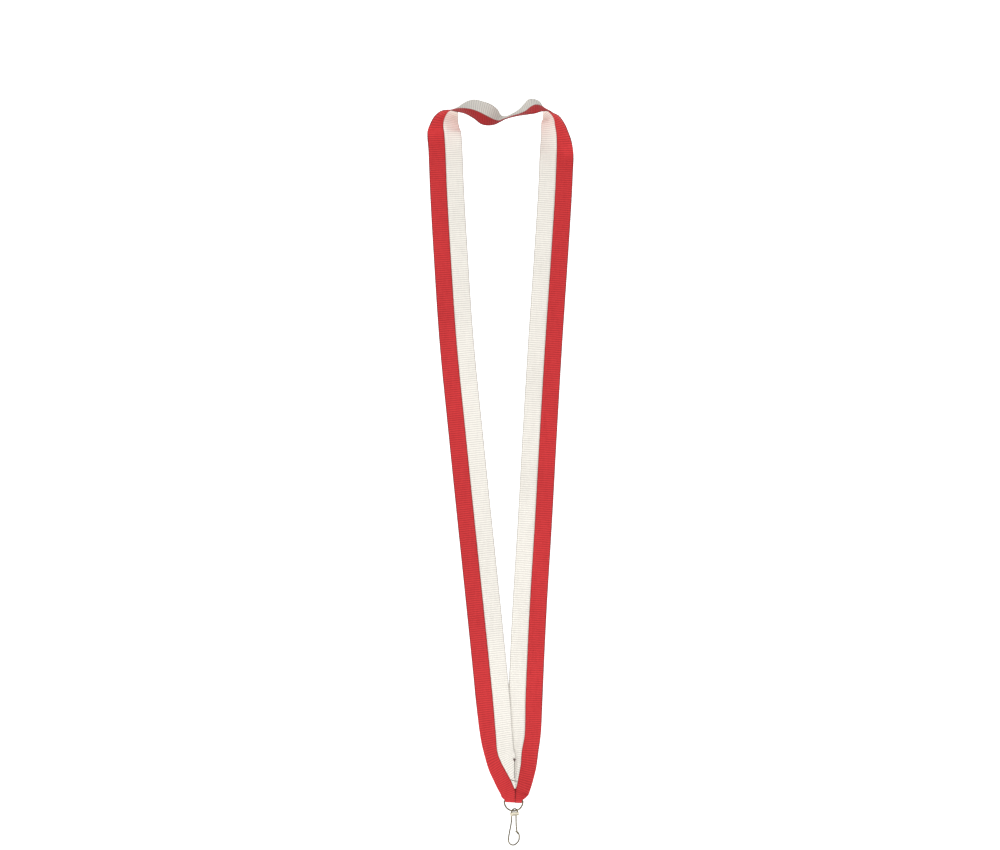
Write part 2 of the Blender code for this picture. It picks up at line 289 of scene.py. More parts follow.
@dataclass(frozen=True)
class ThreadFinish:
    """Spun sewing thread: two plies with loose fibre between them."""

    name: str
    fibre: Colour
    groove: Colour
    roughness: float = 0.66

    def make(self) -> bpy.types.Material:
        """Builds the finish."""
        shade = Shade(self.name)
        fuzz = shade.noise(shade.place(), 5200.0, 4.0)
        length = shade.noise(shade.place(), 900.0)
        share = ((fuzz - 0.4) * 1.1 + (length - 0.5) * 0.6).held()
        shade.bump(fuzz, 0.00003, 0.6)
        return shade.surface(
            Base_Color=shade.blend(share, self.fibre, self.groove),
            Roughness=(self.roughness + (fuzz - 0.5) * 0.2).held(),
            Sheen_Weight=0.2,
            Specular_IOR_Level=0.3,
        )


@dataclass(frozen=True)
class BrassFinish:
    """Plated brass: fine drawn lines and patches that handling has dulled."""

    name: str
    bright: Colour
    dull: Colour
    roughness: float = 0.2
    drawn: tuple[float, float, float] = (5200.0, 5200.0, 700.0)

    def make(self) -> bpy.types.Material:
        """Builds the finish."""
        shade = Shade(self.name)
        lines = shade.noise(shade.stretched(self.drawn), 1.0, 2.0)
        patch = shade.noise(shade.place(), 420.0, 4.0)
        worn = patch.ramp(0.48, 0.72)
        shade.bump(lines, 0.000006, 0.6)
        return shade.surface(
            Base_Color=shade.blend(worn * 0.65 + (lines - 0.5) * 0.12, self.bright, self.dull),
            Roughness=(self.roughness + worn * 0.16 + (lines - 0.5) * 0.12).held(0.05, 1.0),
            Metallic=(1.0 - worn * 0.08).held(),
        )


@dataclass(frozen=True)
class PaperFinish:
    """Matt white paper for the floor and the sweep behind."""

    name: str = "white_paper"
    tone: Colour = (0.93, 0.93, 0.93)
    fleck: Colour = (0.9, 0.9, 0.9)
    glow: float = 0.75

    def make(self) -> bpy.types.Material:
        """Builds the finish."""
        shade = Shade(self.name)
        grain = shade.noise(shade.place(), 60.0)
        return shade.surface(
            Base_Color=shade.blend(grain * 0.15, self.tone, self.fleck),
            Roughness=0.9,
            Specular_IOR_Level=0.0,
            Emission_Color=(1.0, 1.0, 1.0),
            Emission_Strength=self.glow,
        )


# ------------------------------------------------------------------- mesh tools


def unit(rows: np.ndarray) -> np.ndarray:
    """Each row at length one."""
    return rows / np.maximum(np.linalg.norm(rows, axis=-1, keepdims=True), 1e-12)


def share_between(value: float, span: tuple[float, float]) -> float:
    """How far the value has gone from one end of the span to the other, from 0 to 1."""
    return float(np.clip((value - span[0]) / (span[1] - span[0]), 0.0, 1.0))


@dataclass
class Course:
    """A smooth run through stations, which may carry more than a place.

    Attributes:
        stations: One row for each station, whose first three numbers are its place.
    """

    stations: np.ndarray
    knots: np.ndarray = field(init=False)
    slopes: np.ndarray = field(init=False)

    def __post_init__(self) -> None:
        """Works out the distance of each station and the slope there."""
        self.stations = np.array(self.stations, float)
        span = np.linalg.norm(np.diff(self.stations[:, :3], axis=0), axis=1)
        self.knots = np.concatenate([[0.0], np.cumsum(span)])
        self.slopes = np.empty_like(self.stations)
        last = len(self.stations) - 1
        for k in range(last + 1):
            before, after = max(k - 1, 0), min(k + 1, last)
            rise = self.stations[after] - self.stations[before]
            self.slopes[k] = rise / (self.knots[after] - self.knots[before])

    def at(self, distance: np.ndarray) -> np.ndarray:
        """The stations' numbers at any distances along the run."""
        k = np.clip(np.searchsorted(self.knots, distance, side="right") - 1, 0, len(self.knots) - 2)
        length = (self.knots[k + 1] - self.knots[k])[:, None]
        t = (distance - self.knots[k])[:, None] / length
        return (
            (2 * t**3 - 3 * t**2 + 1) * self.stations[k]
            + (3 * t**2 - 2 * t**3) * self.stations[k + 1]
            + length * ((t**3 - 2 * t**2 + t) * self.slopes[k] + (t**3 - t**2) * self.slopes[k + 1])
        )

    def even(self, step: float) -> tuple[np.ndarray, np.ndarray]:
        """The run at even steps.

        Args:
            step: The wanted step in millimetres.

        Returns:
            The rows, and the true distance of each along the run.
        """
        fine = np.linspace(0, self.knots[-1], max(8, int(self.knots[-1] / step * 4)))
        places = self.at(fine)[:, :3]
        true = np.concatenate([[0.0], np.cumsum(np.linalg.norm(np.diff(places, axis=0), axis=1))])
        count = max(3, round(true[-1] / step)) + 1
        wanted = np.linspace(0, true[-1], count)
        return self.at(np.interp(wanted, true, fine)), wanted


def mesh_piece(name: str, points: np.ndarray, faces: list[tuple[int, ...]]) -> bpy.types.Object:
    """A smooth-shaded mesh object.

    Args:
        name: The piece's name.
        points: One row for each vertex, in millimetres.
        faces: Vertex numbers of each face.

    Returns:
        The linked object.
    """
    mesh = bpy.data.meshes.new(name)
    mesh.from_pydata((points * MM).tolist(), [], faces)
    mesh.update()
    mesh.shade_smooth()
    piece = bpy.data.objects.new(name, mesh)
    bpy.context.scene.collection.objects.link(piece)
    return piece


def enclosed(points: np.ndarray, faces: list[tuple[int, ...]]) -> float:
    """The volume inside faces of three or four corners, below zero where they face in."""
    corners = np.array([face if len(face) == 4 else (*face, face[-1]) for face in faces])
    a, b, c, d = (points[corners[:, k]] for k in range(4))
    return float((a * (np.cross(b, c) + np.cross(c, d))).sum() / 6)


def loft(name: str, rings: np.ndarray, closed: bool = False) -> bpy.types.Object:
    """A closed skin over rings of points.

    Args:
        name: The piece's name.
        rings: An array of rings, points and three coordinates.
        closed: Whether the last ring joins the first. Open ends get a fan cap.

    Returns:
        The linked object.
    """
    count, around = rings.shape[:2]
    faces: list[tuple[int, ...]] = []
    for r in range(count if closed else count - 1):
        a, b = r * around, (r + 1) % count * around
        faces += [(a + k, a + (k + 1) % around, b + (k + 1) % around, b + k) for k in range(around)]
    points = rings.reshape(-1, 3)
    if not closed:
        centres = np.array([rings[0].mean(0), rings[-1].mean(0)])
        first, last, final = len(points), len(points) + 1, (count - 1) * around
        points = np.vstack([points, centres])
        faces += [(first, (k + 1) % around, k) for k in range(around)]
        faces += [(last, final + k, final + (k + 1) % around) for k in range(around)]
    if enclosed(points, faces) < 0:
        faces = [face[::-1] for face in faces]
    return mesh_piece(name, points, faces)


def frames_along(path: np.ndarray, closed: bool) -> tuple[np.ndarray, np.ndarray]:
    """Two crosswise ways at each point of a path, carried along it without twist."""
    if closed:
        way = unit(np.roll(path, -1, 0) - np.roll(path, 1, 0))
    else:
        way = unit(np.gradient(path, axis=0))
    start = np.cross(way[0], (0.0, 1.0, 0.0))
    if np.linalg.norm(start) < 0.2:
        start = np.cross(way[0], (1.0, 0.0, 0.0))
    side = [unit(start)]
    for k in range(1, len(path)):
        carried = side[-1] - way[k] * side[-1].dot(way[k])
        side.append(unit(carried))
    sides = np.array(side)
    return sides, np.cross(way, sides)


def drawn_wire(
    name: str,
    path: np.ndarray,
    radius: float,
    around: int = 20,
    closed: bool = False,
    plies: int = 0,
    lay: float = 1.1,
    end_round: float = 1.0,
) -> bpy.types.Object:
    """A round wire, or a plied thread, along a path.

    Args:
        name: The piece's name.
        path: Points close together, in millimetres.
        radius: Half of the diameter.
        around: Points round the wire.
        closed: Whether the path is a loop.
        plies: Plies of a twisted thread, or 0 for solid wire.
        lay: Millimetres of thread to one turn of the plies.
        end_round: How far the ends are rounded, as a share of the radius.

    Returns:
        The linked object.
    """
    side, other = frames_along(path, closed)
    gone = np.concatenate([[0.0], np.cumsum(np.linalg.norm(np.diff(path, axis=0), axis=1))])
    radii = np.full(len(path), radius)
    if not closed and end_round > 0:
        steps = np.linspace(0, 1, 5)[:-1]
        reach = radius * end_round
        ends = np.concatenate([steps * reach, gone[-1] - steps * reach])
        between = gone[(gone > reach) & (gone < gone[-1] - reach)]
        gone_new = np.unique(np.concatenate([between, ends, [reach, gone[-1] - reach]]))

        def along(rows: np.ndarray) -> np.ndarray:
            """Rows brought to the new distances."""
            return np.stack([np.interp(gone_new, gone, rows[:, axis]) for axis in range(3)], axis=1)

        path, side, other = along(path), unit(along(side)), unit(along(other))
        near = np.minimum(gone_new, gone[-1] - gone_new) / reach
        radii = radius * np.sqrt(np.clip(1 - (1 - np.minimum(near, 1.0)) ** 2, 0.02, 1.0))
        gone = gone_new
    angles = np.linspace(0, 2 * math.pi, around, endpoint=False)
    out = np.repeat(radii[:, None], around, axis=1)
    if plies:
        # each ply stands out as a rounded ridge that winds along the thread
        turn = gone[:, None] / lay * 2 * math.pi
        out = out * (0.74 + 0.3 * np.abs(np.cos((angles - turn) * plies / 2)))
    rings = path[:, None] + (np.cos(angles) * out)[..., None] * side[:, None]
    rings = rings + (np.sin(angles) * out)[..., None] * other[:, None]
    return loft(name, rings, closed)


def dress(piece: bpy.types.Object, finish: bpy.types.Material, slot: Slot, body: str, *nodes: str) -> None:
    """Gives a piece its finish and its body, and hides the frame nodes that it stands for."""
    piece.data.materials.clear()
    piece.data.materials.append(finish)
    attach(piece, body)
    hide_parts(*nodes)
    faces = len(piece.data.polygons)
    LOG.info("%s: %d faces, rides on %s, stands for %s", piece.name, faces, body, ", ".join(nodes))


# ------------------------------------------------------------------- the ribbon


class Side(Enum):
    """The two straps, with the way from each one's colour line to its white edge."""

    LEFT = 1
    RIGHT = -1


@dataclass
class NeckRibbon:
    """One woven length, red on its outer half and white on its inner half.

    The ribbon is held as stations from the left tip, up the left strap, behind the neck and down
    to the right tip. Each station is a point on the colour line with the two ways from it.
    """

    width: float = 22.0
    thickness: float = 0.46
    rib_pitch: float = 1.4
    rib_height: float = 0.12
    rows_to_rib: int = 6
    # how far each lane of the mesh lies from the colour line, as a share of one colour's width
    lanes: tuple[float, ...] = (0, 0.12, 0.26, 0.4, 0.54, 0.68, 0.8, 0.88, 0.93, 0.965, 1.0)
    # the ribs' roundness: 1 is a plain wave, less is fuller
    rib_fullness: float = 0.75
    # the outer edge: how wide the selvedge is, how far its loops stand out, how flat and thin it is
    selvedge: float = 0.8
    picot: float = 0.07
    selvedge_flat: float = 0.45
    selvedge_thin: float = 0.5
    strap_depth: float = -30.0
    lap: float = 0.45
    # the heights between which one strap comes to lie over the other
    lap_span: tuple[float, float] = (-330.0, -380.0)
    # the straps lean back to the shoulders: how far, and between which heights
    lean: float = 20.0
    lean_span: tuple[float, float] = (-240.0, -8.0)
    # the straps' gentle waves, out of plane and in the twist: size and millimetres to one radian
    sway: tuple[float, float] = (0.35, 37.0)
    sway_span: tuple[float, float] = (-380.0, -320.0)
    curl: tuple[float, float] = (0.012, 53.0)
    strap_steps: int = 30
    bar: tuple[float, float, float] = RING_BAR
    # how far the ways behind the neck are squared to the colour line, from 0 to 1
    squareness: float = 0.3
    left_line: tuple[Row, ...] = (
        (-2.9, -393.6), (-4.8, -371.2), (-10.6, -313.6), (-16.6, -256.0), (-22.5, -198.4),
        (-28.2, -140.8), (-32.2, -82.6), (-34.5, -43.6), (-35.6, -18.0),
    )
    right_line: tuple[Row, ...] = (
        (15.5, -393.6), (16.0, -371.2), (18.6, -313.6), (22.1, -256.0), (25.3, -198.4),
        (28.8, -140.8), (32.8, -82.6), (35.3, -43.6),
    )
    # behind the neck: place on the colour line, way to the white edge, way to the red edge
    neck: tuple[tuple[Row, Row, Row], ...] = (
        ((-36.4, -10.0, -6.0), (1.0, 0.0, 0.0), (-1.0, 0.0, 0.0)),
        ((-37.1, -10.3, -1.7), (0.94, 0.3, -0.1), (-0.78, -0.62, 0.0)),
        ((-36.6, -10.3, 2.5), (0.84, 0.52, -0.1), (-0.56, -0.83, 0.05)),
        ((-35.4, -10.1, 5.6), (0.74, 0.66, -0.1), (-0.3, -0.95, 0.06)),
        ((-33.5, -9.8, 7.9), (0.62, 0.77, -0.02), (-0.02, -1.0, -0.06)),
        ((-29.8, -9.4, 9.4), (0.38, 0.9, 0.2), (0.1, -0.96, -0.26)),
        ((-24.3, -8.8, 9.9), (0.15, 0.86, 0.42), (0.14, -0.9, -0.42)),
        ((-18.5, -7.6, 9.3), (0.09, 0.7, 0.62), (0.15, -0.77, -0.63)),
        ((-13.3, -6.2, 7.5), (0.13, 0.62, 0.7), (0.1, -0.65, -0.76)),
        ((-8.1, -4.4, 5.0), (0.18, 0.55, 0.75), (-0.02, -0.8, -0.6)),
        ((-3.9, -2.8, 3.1), (0.25, 0.68, 0.62), (-0.08, -0.94, -0.34)),
        ((-1.0, -1.4, 2.7), (0.3, 0.86, 0.4), (-0.04, -0.98, -0.18)),
        ((2.9, -0.4, 4.2), (0.22, 0.93, 0.3), (-0.02, -0.99, -0.15)),
        ((7.5, -0.2, 5.9), (0.08, 0.95, 0.28), (0.0, -0.98, -0.17)),
        ((12.0, -0.8, 7.1), (-0.05, 0.93, 0.36), (0.0, -0.98, -0.19)),
        ((16.6, -2.2, 9.0), (-0.15, 0.86, 0.48), (0.04, -0.95, -0.3)),
        ((19.8, -3.6, 11.5), (-0.16, 0.83, 0.5), (0.06, -0.86, -0.5)),
        ((23.0, -5.2, 12.6), (0.0, 0.9, 0.36), (0.1, -0.82, -0.56)),
        ((26.9, -7.0, 11.5), (-0.08, 0.97, 0.16), (0.12, -0.88, -0.45)),
        ((30.4, -8.4, 8.7), (-0.34, 0.93, -0.14), (0.1, -0.96, -0.24)),
        ((33.3, -9.4, 5.7), (-0.58, 0.8, -0.08), (0.04, -1.0, -0.05)),
        ((34.8, -10.0, 2.8), (-0.74, 0.66, 0.0), (0.26, -0.96, 0.03)),
        ((35.5, -10.8, -1.8), (-0.82, 0.56, 0.0), (0.52, -0.85, 0.03)),
        ((36.3, -11.4, -7.0), (-0.9, 0.42, 0.0), (0.68, -0.73, 0.0)),
        ((36.5, -11.6, -12.9), (-0.96, 0.25, 0.0), (0.85, -0.5, 0.0)),
        ((36.3, -12.1, -20.7), (-1.0, 0.0, 0.0), (1.0, 0.0, 0.0)),
    )
    # at the mitre, top to bottom: white edge, colour line and red edge as across and height
    left_mitre: tuple[tuple[Row, Row, Row], ...] = (
        ((7.3, -391.9), (-2.9, -393.6), (-12.8, -395.5)),
        ((8.2, -402.3), (-1.9, -404.5), (-10.1, -407.4)),
        ((9.3, -406.0), (0.3, -410.7), (-7.5, -416.0)),
        ((9.5, -413.0), (3.8, -417.3), (-4.6, -422.4)),
        ((9.5, -421.5), (6.9, -423.0), (-2.0, -427.8)),
        ((9.5, -427.6), (8.9, -427.9), (0.0, -431.5)),
    )
    right_mitre: tuple[tuple[Row, Row, Row], ...] = (
        ((4.8, -394.2), (15.5, -393.6), (26.0, -393.0)),
        ((5.8, -403.2), (13.6, -404.5), (24.4, -405.2)),
        ((7.5, -409.6), (13.0, -412.2), (23.1, -414.7)),
        ((7.5, -417.3), (11.8, -419.2), (21.4, -421.8)),
        ((7.5, -422.8), (10.8, -424.4), (19.6, -427.9)),
        ((7.5, -427.0), (9.9, -428.0), (18.1, -432.0)),
    )
    # the red tips: inner edge, outer edge, place behind the strap's depth, height, drop outwards
    left_tip: tuple[Row, ...] = ((9.5, 0.5, -0.45, -430.0, -2.9), (9.44, 1.5, -0.25, -432.9, -1.4))
    right_tip: tuple[Row, ...] = ((9.5, 17.2, 0.35, -430.4, -2.6), (9.48, 15.7, 0.1, -432.9, -1.5))
    # how far the right strap sinks at its colour line, and again at its red edge, down the mitre
    right_sink: tuple[tuple[float, float], ...] = (
        (2.3, 2.3), (2.5, 2.6), (2.3, 2.8), (1.7, 2.8), (0.9, 2.6), (0.45, 2.1),
    )
    # the fold round the bar: radius, steps in degrees from the front round under the bar, reach
    fold_turn: float = 1.05
    fold_steps: tuple[int, ...] = (178, 215, 250, 285, 320, 358)
    fold_outer: float = 5.35
    # the seam's place and how far the cloth sags under the bar, left and right
    fold_seam: tuple[float, float] = (9.45, 9.46)
    fold_sag: tuple[float, float] = (0.2, 0.5)
    # how far the outer corner of the left half is drawn up
    fold_rise: float = 0.32
    # the right tip leans back at its outer edge, less and less down to the bar
    tip_fall: float = 1.7
    tip_fall_span: tuple[float, float] = (-435.0, -429.0)
    # the flap behind: height over the bar, inner edge, reach from the bar's middle, depth
    flap: tuple[Row, ...] = ((12.5, 8.6, 1.6, -28.7), (7.0, 8.9, 3.3, -28.65), (2.2, 9.3, 4.8, -28.05))

    @property
    def half(self) -> float:
        """The width of one colour."""
        return self.width / 2

    def mitre_rows(self, side: Side) -> list[np.ndarray]:
        """The stations of one strap's mitred end, top to bottom."""
        front = self.strap_depth - self.lap * side.value
        mitre = self.left_mitre if side is Side.LEFT else self.right_mitre
        sinks = [(0.0, 0.0)] * len(mitre) if side is Side.LEFT else self.right_sink
        rows: list[np.ndarray] = []
        for (white, middle, red), (sink, fall) in zip(mitre, sinks):
            centre = np.array([middle[0], front + sink, middle[1]])
            to_white = np.array([white[0] - middle[0], -sink, white[1] - middle[1]])
            to_red = np.array([red[0] - middle[0], fall, red[1] - middle[1]])
            rows.append(np.concatenate([centre, to_white, to_red]))
        return rows

    def tip_rows(self, side: Side) -> list[np.ndarray]:
        """The red tip of one strap, round the ring's bar and up behind, top to bottom."""
        bar_x, bar_y, bar_z = self.bar
        left = side is Side.LEFT
        rows = []

        def add(
            inner: float, outer: float, depth: float, height: float, drop: float = 0.0, fall: float = 0.0
        ) -> None:
            """One station whose inner edge is on the seam, with next to no white left."""
            rows.append(np.array([inner, depth, height, side.value * 0.01, 0, 0, outer - inner, fall, drop]))

        for inner, outer, shift, height, drop in self.left_tip if left else self.right_tip:
            fall = 0.0 if left else self.tip_fall * share_between(height, self.tip_fall_span)
            add(inner, outer, self.strap_depth + shift, height, drop, fall)
        seam, most_sag = (row[0 if left else 1] for row in (self.fold_seam, self.fold_sag))
        outer = bar_x - side.value * self.fold_outer
        for angle in np.radians(self.fold_steps):
            low = max(0.0, -math.sin(angle))
            depth = bar_y + self.fold_turn * math.cos(angle)
            height = bar_z + self.fold_turn * math.sin(angle) - most_sag * low
            add(seam, outer, depth, height, self.fold_rise * low if left else 0.0)
        for height, inner, reach, depth in self.flap[::-1]:
            add(inner if left else inner + 0.01, bar_x - side.value * reach, depth, bar_z + height)
        return rows

    def strap_rows(self, side: Side) -> list[np.ndarray]:
        """The stations of one hanging strap, from above the mitre up to the shoulder."""
        line = self.left_line if side is Side.LEFT else self.right_line
        end = self.neck[0 if side is Side.LEFT else -1][0]
        course = Course([(x, 0.0, z) for x, z in line] + [(end[0], 0.0, end[2])])
        rows = []
        places = np.linspace(course.knots[1], course.knots[-1] - self.half, self.strap_steps)
        step = course.at(places + 0.5) - course.at(places - 0.5)
        for k, centre in enumerate(course.at(places)):
            along = unit(step[k])
            out = np.array([along[2], 0.0, -along[0]]) * side.value
            height = centre[2]
            lapped = share_between(height, self.lap_span)
            sink = self.right_sink[0][0] * lapped if side is Side.RIGHT else 0.0
            lean = self.lean * share_between(height, self.lean_span) ** 2
            wave = math.sin(height / self.sway[1] + side.value)
            sway = self.sway[0] * wave * share_between(height, self.sway_span)
            depth = self.strap_depth - side.value * self.lap * lapped + lean + sway + sink
            centre = centre + [0, depth, 0]
            curl = np.array([0.0, self.curl[0] * math.sin(height / self.curl[1]), 0.0])
            turn = np.array([0.0, sink / self.half, 0.0])
            to_white, to_red = out + curl - turn, curl - out + turn
            rows.append(np.concatenate([centre, to_white * self.half, to_red * self.half]))
        return rows

    def neck_rows(self) -> list[np.ndarray]:
        """The stations from shoulder to shoulder behind the neck."""
        rows = []
        centres = np.array([station[0] for station in self.neck])
        along = unit(np.gradient(centres, axis=0))
        along[0] = (0.0, 0.0, 1.0)
        along[-1] = (0.0, 0.0, -1.0)
        for k, (centre, white, red) in enumerate(self.neck):
            ways = [np.array(way) - along[k] * np.dot(way, along[k]) * self.squareness for way in (white, red)]
            rows.append(np.concatenate([centre, *(unit(way) * self.half for way in ways)]))
        return rows

    def stations(self) -> tuple[np.ndarray, int, int]:
        """Every station of the ribbon.

        Returns:
            The stations from the left flap to the right flap, and the first and last of them that
            carry white ribbon.
        """
        left = self.mitre_rows(Side.LEFT) + self.tip_rows(Side.LEFT)
        right = self.mitre_rows(Side.RIGHT) + self.tip_rows(Side.RIGHT)
        tips = len(left) - len(self.left_mitre)
        loop = self.strap_rows(Side.LEFT) + self.neck_rows() + self.strap_rows(Side.RIGHT)[::-1]
        rows = left[::-1] + loop + right
        return np.array(rows), tips, len(rows) - 1 - tips

    def weave(self, name: str, course: Course, span: tuple[float, float], to_white: bool) -> bpy.types.Object:
        """Weaves one colour's half of the ribbon with its ribs on both faces.

        Args:
            name: The piece's name.
            course: The ribbon's stations.
            span: Where this half starts and ends, as distances along the course.
            to_white: Whether this is the white half.

        Returns:
            The woven mesh, which holds its woven coordinates as the attribute "weave".
        """
        fine = np.linspace(*span, int((span[1] - span[0]) * 8))
        steps = np.linalg.norm(np.diff(course.at(fine)[:, :3], axis=0), axis=1)
        true = np.concatenate([[0.0], np.cumsum(steps)])
        count = int(true[-1] / self.rib_pitch) * self.rows_to_rib
        gone = np.linspace(0, true[-1], count)
        rows = course.at(np.interp(gone, true, fine))
        own, other = (rows[:, 3:6], rows[:, 6:9]) if to_white else (rows[:, 6:9], rows[:, 3:6])
        length = np.linalg.norm(own, axis=1, keepdims=True)
        towards = unit(own)
        # beyond the mitre the other colour is cut away, and its way no longer counts
        kept = np.clip(np.linalg.norm(other, axis=1, keepdims=True) / self.half * 3 - 0.1, 0.0, 1.0)
        across = unit(towards - unit(other) * kept)
        shares = np.array(self.lanes)
        rib = np.abs(np.sin(math.pi * gone / self.rib_pitch)) ** self.rib_fullness
        edge = np.clip((shares - (1 - self.selvedge / self.half)) * self.half / self.selvedge, 0, 1)
        out = length * shares[None, :] + self.picot * (rib[:, None] - 0.5) * edge**2
        u = (out / length)[..., None]
        bow = across[:, None] * (u - u * u) + towards[:, None] * u * u
        grid = rows[:, None, :3] + length[:, None] * bow
        normal = unit(np.cross(np.gradient(grid, axis=1), np.gradient(grid, axis=0)))
        level = self.thickness / 2 + self.rib_height * (rib[:, None] * (1 - self.selvedge_flat * edge) - 0.5)
        lift = normal * (level * (1 - self.selvedge_thin * edge**3))[..., None]
        rings = np.concatenate([grid + lift, (grid - lift)[:, ::-1]], axis=1)
        piece = loft(name, rings)
        sign = 1.0 if to_white else -1.0
        coordinates = np.zeros((len(piece.data.vertices), 3), np.float32)
        around = rings.shape[1]
        coordinates[: count * around, 0] = (np.concatenate([out, out[:, ::-1]], axis=1) * sign).ravel()
        coordinates[: count * around, 1] = np.repeat(gone, around)
        coordinates[count * around :, 0] = self.half / 2 * sign
        coordinates[count * around + 1, 1] = gone[-1]
        weave = piece.data.attributes.new("weave", "FLOAT_VECTOR", "POINT")
        weave.data.foreach_set("vector", coordinates.ravel())
        return piece

    def build(self) -> dict[Slot, tuple[bpy.types.Object, float]]:
        """Weaves both halves.

        Returns:
            For each colour its piece and its flat length in millimetres.
        """
        rows, first, last = self.stations()
        course = Course(rows)
        spans = {Slot.RED: (0.0, course.knots[-1]), Slot.WHITE: (course.knots[first], course.knots[last])}
        made = {}
        for slot, span in spans.items():
            name = "red_half" if slot is Slot.RED else "white_half"
            made[slot] = (self.weave(name, course, span, slot is Slot.WHITE), span[1] - span[0])
        return made

    def dress(self, made: dict[Slot, tuple[bpy.types.Object, float]]) -> None:
        nodes = {
            Slot.RED: ("neck_band_red", "left_strap_red", "right_strap_red", "ring_fold"),
            Slot.WHITE: ("neck_band_white", "left_strap_white", "right_strap_white"),
        }
        # both valley colours are painted shade; the white's dark edge colour is partly painted shade for the
        # line where the left strap laps the right
        finishes = {
            Slot.RED: WovenFinish(
                "red_ribbed_ribbon", (0.66, 0.034, 0.038), (0.36, 0.012, 0.017), (0.09, 0.008, 0.011),
                rib_pitch=self.rib_pitch, edge_share=0.85, sheen_tint=(1.0, 0.5, 0.45),
            ),
            Slot.WHITE: WovenFinish(
                "cream_ribbed_ribbon", (0.94, 0.905, 0.83), (0.62, 0.59, 0.54), (0.34, 0.31, 0.27),
                rib_pitch=self.rib_pitch, edge_share=0.7, line_share=0.18, sheen_tint=(1.0, 0.97, 0.92),
            ),
        }
        for slot, (piece, length) in made.items():
            dress(piece, finishes[slot].make(), slot, "ribbon", *nodes[slot])
            length * MM
            LOG.info("%s is cut %.1f mm wide and %.0f mm long", piece.name, self.half, length)


# ---------------------------------------------------------------- the stitching


@dataclass
class Stitching:
    """The seam down the mitre with its knot, and the tacks that close the fold."""

    radius: float = 0.18
    knot_size: float = 0.27
    knot_place: tuple[float, float, float] = (8.95, -31.15, -409.3)
    seam_x: float = 9.05
    seam_top: float = -409.9
    seam_bottom: float = -421.4
    stitch: float = 1.45
    cloth_front: float = -30.76
    tack: tuple[Row, ...] = (
        (6.7, -30.4, -422.2), (6.95, -30.95, -422.35), (8.0, -31.0, -422.62), (9.3, -30.95, -422.98),
        (9.9, -30.35, -423.2), (10.7, -30.1, -423.6), (10.95, -29.7, -423.7),
    )
    flap_x: float = 8.4
    flap_depth: float = -28.28
    flap_base: float = -429.4
    flap_rise: float = 0.62
    flap_reach: tuple[float, float] = (2.6, 1.5)
    flap_rows: int = 6

    def seam(self) -> np.ndarray:
        """Running stitches: proud of the cloth along each stitch and sunk at its ends."""
        heights = np.arange(self.seam_top, self.seam_bottom, -0.07)
        phase = (self.seam_top - heights) / self.stitch
        sunk = np.clip(np.abs(np.sin(math.pi * phase)) * 2.2, 0, 1)
        depth = self.cloth_front + 0.2 - sunk * 0.36
        sway = self.seam_x + 0.07 * np.sin(phase * 2.1)
        return np.stack([sway, depth, heights], axis=1)

    def knot(self) -> np.ndarray:
        """An overhand knot pulled tight, as a closed loop of thread."""
        t = np.linspace(0, 2 * math.pi, 120, endpoint=False)
        across, high = np.sin(t) + 2 * np.sin(2 * t), 1.15 * (np.cos(t) - 2 * np.cos(2 * t))
        loop = np.stack([across, 1.1 * np.sin(3 * t), high], axis=1)
        return np.array(self.knot_place) + loop * self.knot_size

    def flap(self) -> np.ndarray:
        """Whip stitches back and forth across the flap."""
        rows = []
        for k in range(self.flap_rows):
            reach = np.interp(k, (0, self.flap_rows - 1), self.flap_reach) * (-1) ** k
            height = self.flap_base + self.flap_rise * k
            rows.append((self.flap_x + reach, self.flap_depth - 0.3, height))
            rows.append((self.flap_x + reach * 0.86, self.flap_depth + 0.12, height + 0.08))
            rows.append((self.flap_x, self.flap_depth + 0.16, height + self.flap_rise * 0.45))
            rows.append((self.flap_x - reach * 0.8, self.flap_depth + 0.12, height + self.flap_rise * 0.86))
        return Course(rows).even(0.08)[0]

    def build(self) -> dict[str, bpy.types.Object]:
        """Sews all four threads, by the name of the frame node each stands for."""
        return {
            "seam_thread": drawn_wire("seam_stitches", self.seam(), self.radius, 10, plies=2),
            "seam_knot": drawn_wire(
                "seam_end_knot", self.knot(), self.radius * 0.95, 10, closed=True, plies=2, lay=1.0
            ),
            "front_tack": drawn_wire(
                "front_tack_stitch", Course(self.tack).even(0.07)[0], self.radius, 10, plies=2
            ),
            "flap_tack": drawn_wire("flap_whip_stitches", self.flap(), self.radius, 10, plies=2),
        }

    def dress(self, made: dict[str, bpy.types.Object]) -> None:
        """Grey thread for the seam and the flap, browner where the knot is pulled tight."""
        grey = ThreadFinish("grey_thread", (0.17, 0.145, 0.12), (0.06, 0.05, 0.042)).make()
        brown = ThreadFinish("knot_thread", (0.16, 0.09, 0.08), (0.05, 0.03, 0.025)).make()
        for node, piece in made.items():
            dress(piece, brown if node == "seam_knot" else grey, Slot.THREAD, "ribbon", node)


# -------------------------------------------------------------------- the wires


